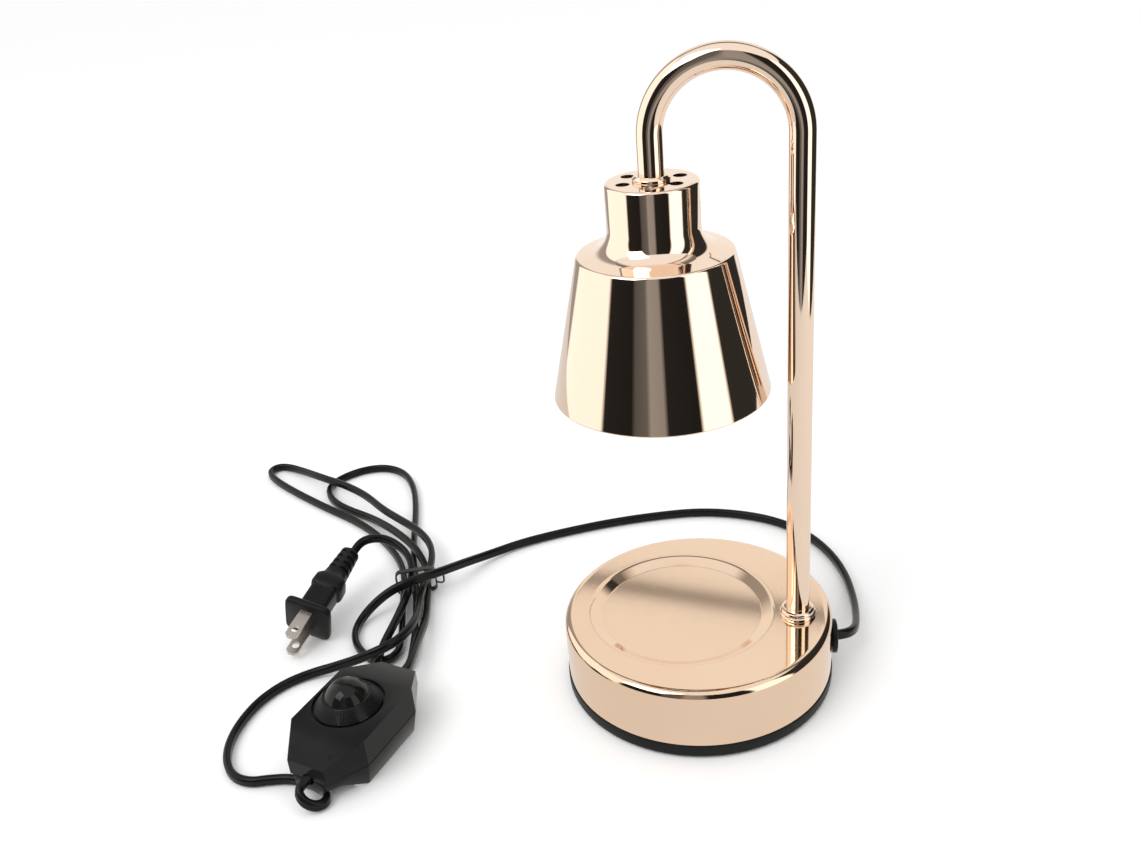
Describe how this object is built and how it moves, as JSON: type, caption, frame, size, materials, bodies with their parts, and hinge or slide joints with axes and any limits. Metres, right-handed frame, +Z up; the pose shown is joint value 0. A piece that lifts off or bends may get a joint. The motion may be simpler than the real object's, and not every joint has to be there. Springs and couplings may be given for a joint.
{
  "type": "candle warmer lamp",
  "caption": "Table lamp that melts a jar candle from above: round base with candle seat, bent tube, bell shade, in-line rotary dimmer and flat cord with a two-blade plug.",
  "frame": {"origin": "centre of the base's underside, on the table", "axes": "+Z up; +X from the base's centre towards the upright tube; the picture looks roughly along +Y"},
  "size_m": [0.3677, 0.2866, 0.2774],
  "materials": {
    "rose_gold_satin": "satin",
    "rose_gold_polished": "polished",
    "black_plastic": "fine satin",
    "black_gloss": "gloss",
    "black_vinyl": "satin vinyl",
    "foot_foam": "matte",
    "cast_grey": "rough",
    "zinc": "plated",
    "wire_white": "smooth",
    "ceramic": "glazed",
    "lamp_mirror": "faceted",
    "lamp_glass": "clear",
    "board_green": "coated",
    "board_dark": "moulded",
    "nickel": "plated"
  },
  "bodies": {
    "lamp": {"base_cover": "rose_gold_satin", "arm_tube": "rose_gold_polished", "foot_collar": "rose_gold_polished", "lamp_shade": "rose_gold_polished", "cap_collar": "rose_gold_polished", "bottom_tray": "black_plastic", "dimmer_upper_case": "black_plastic", "dimmer_lower_case": "black_plastic", "lamp_lead": "black_vinyl", "plug_lead": "black_vinyl", "cord_bushing": "black_vinyl", "plug_body": "black_vinyl", "twist_tie": "black_vinyl", "foot_pad": "foot_foam", "base_weight": "cast_grey", "tray_screws": "zinc", "post_washer": "zinc", "post_nut": "zinc", "head_nut": "zinc", "holder_bracket": "zinc", "holder_screws": "zinc", "dimmer_screws": "zinc", "potentiometer": "zinc", "lamp_wires": "wire_white", "crimp_caps": "wire_white", "lamp_holder": "ceramic", "dimmer_board": "board_green", "board_parts": "board_dark", "plug_blades": "nickel"},
    "knob": {"dimmer_knob": "black_gloss", "knob_shaft": "zinc"},
    "bulb": {"lamp_pins": "zinc", "lamp_foot": "ceramic", "lamp_reflector": "lamp_mirror", "lamp_lens": "lamp_glass"}
  },
  "joints": [
    {"name": "dimmer_turn", "type": "hinge", "parent": "lamp", "child": "knob", "pos_m": [-0.14253, -0.06859, 0], "axis": [0, 0, -1], "range_deg": [0, 300]},
    {"name": "bulb_twist", "type": "hinge", "parent": "lamp", "child": "bulb", "pos_m": [-0.0108, 0, 0.19], "axis": [0, 0, -1], "range_deg": [0, 20]}
  ]
}
